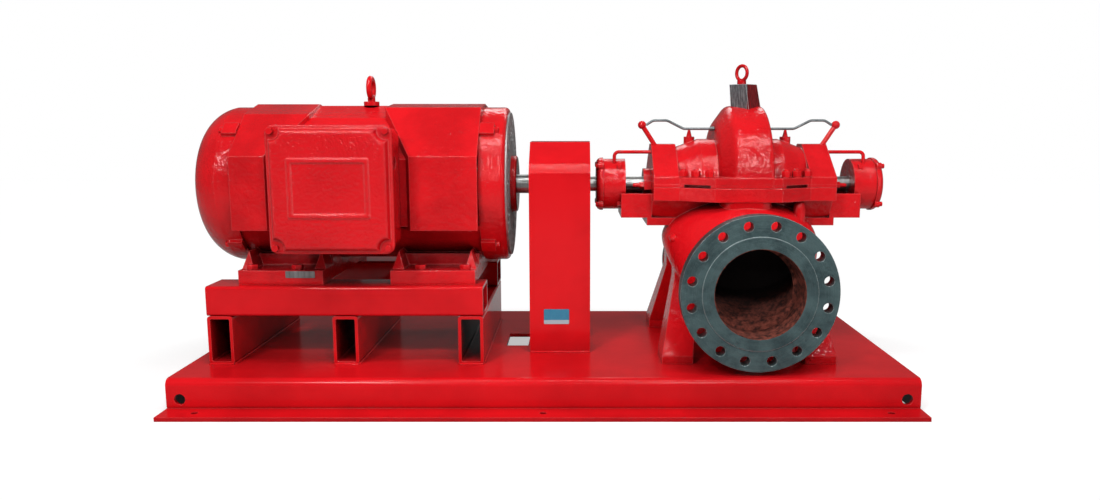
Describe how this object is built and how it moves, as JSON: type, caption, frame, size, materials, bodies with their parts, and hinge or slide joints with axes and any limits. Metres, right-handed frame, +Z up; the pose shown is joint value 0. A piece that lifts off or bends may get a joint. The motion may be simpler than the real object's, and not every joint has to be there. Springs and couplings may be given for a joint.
{
  "type": "horizontal split-case centrifugal pump set",
  "caption": "Horizontal split-case centrifugal pump coupled to an electric motor on a riser, with a sheet coupling guard, all on a formed-steel base with toes for anchor bolts.",
  "frame": {"origin": "on the floor, under the middle of the base", "axes": "+X along the shaft from the motor to the pump, -Y towards the suction side, +Z up"},
  "size_m": [2.1198, 1.04, 0.9855],
  "materials": {
    "red_plate": "gloss red enamel on bent sheet and section",
    "red_casting": "gloss red enamel over rough casting",
    "red_fittings": "gloss red enamel on small fittings",
    "bare_shaft": "turned steel, oiled",
    "coupling_rubber": "black moulded rubber",
    "screen_steel": "pierced steel sheet, half painted",
    "tube_steel": "dull grey steel tube"
  },
  "bodies": {
    "root": {"base_deck": "red_plate", "base_end_plate_left": "red_plate", "base_end_plate_right": "red_plate", "base_cross_members": "red_plate", "riser_rail_front": "red_plate", "riser_rail_rear": "red_plate", "riser_tube_left": "red_plate", "riser_tube_middle": "red_plate", "riser_tube_right": "red_plate", "guard_shell": "red_plate", "guard_end_motor": "red_plate", "guard_end_pump": "red_plate", "motor_shroud_left": "red_plate", "motor_shroud_right": "red_plate", "motor_frame": "red_casting", "motor_drive_shield": "red_casting", "motor_bearing_cap": "red_casting", "motor_free_shield": "red_casting", "terminal_box": "red_casting", "terminal_box_cover": "red_casting", "pump_upper_casing": "red_casting", "pump_lower_casing": "red_casting", "gland_left": "red_casting", "gland_right": "red_casting", "bearing_housing_left": "red_casting", "bearing_housing_right": "red_casting", "bearing_cover_left": "red_casting", "bearing_cover_right": "red_casting", "motor_eyebolt": "red_fittings", "pump_eyebolt": "red_fittings", "air_cock_left": "red_fittings", "air_cock_right": "red_fittings", "flush_nipple_left": "red_fittings", "flush_nipple_right": "red_fittings", "seal_pipe_left": "red_fittings", "seal_pipe_right": "red_fittings", "motor_air_screen": "screen_steel", "flush_tube_left": "tube_steel", "flush_tube_right": "tube_steel"},
    "rotor": {"motor_shaft": "bare_shaft", "coupling_hub_motor": "bare_shaft", "coupling_element": "coupling_rubber", "coupling_hub_pump": "bare_shaft", "pump_shaft": "bare_shaft"}
  },
  "joints": [
    {"name": "shaft_spin", "type": "hinge", "parent": "root", "child": "rotor", "pos_m": [0.0405, 0, 0.609], "axis": [1, 0, 0], "continuous": true}
  ]
}
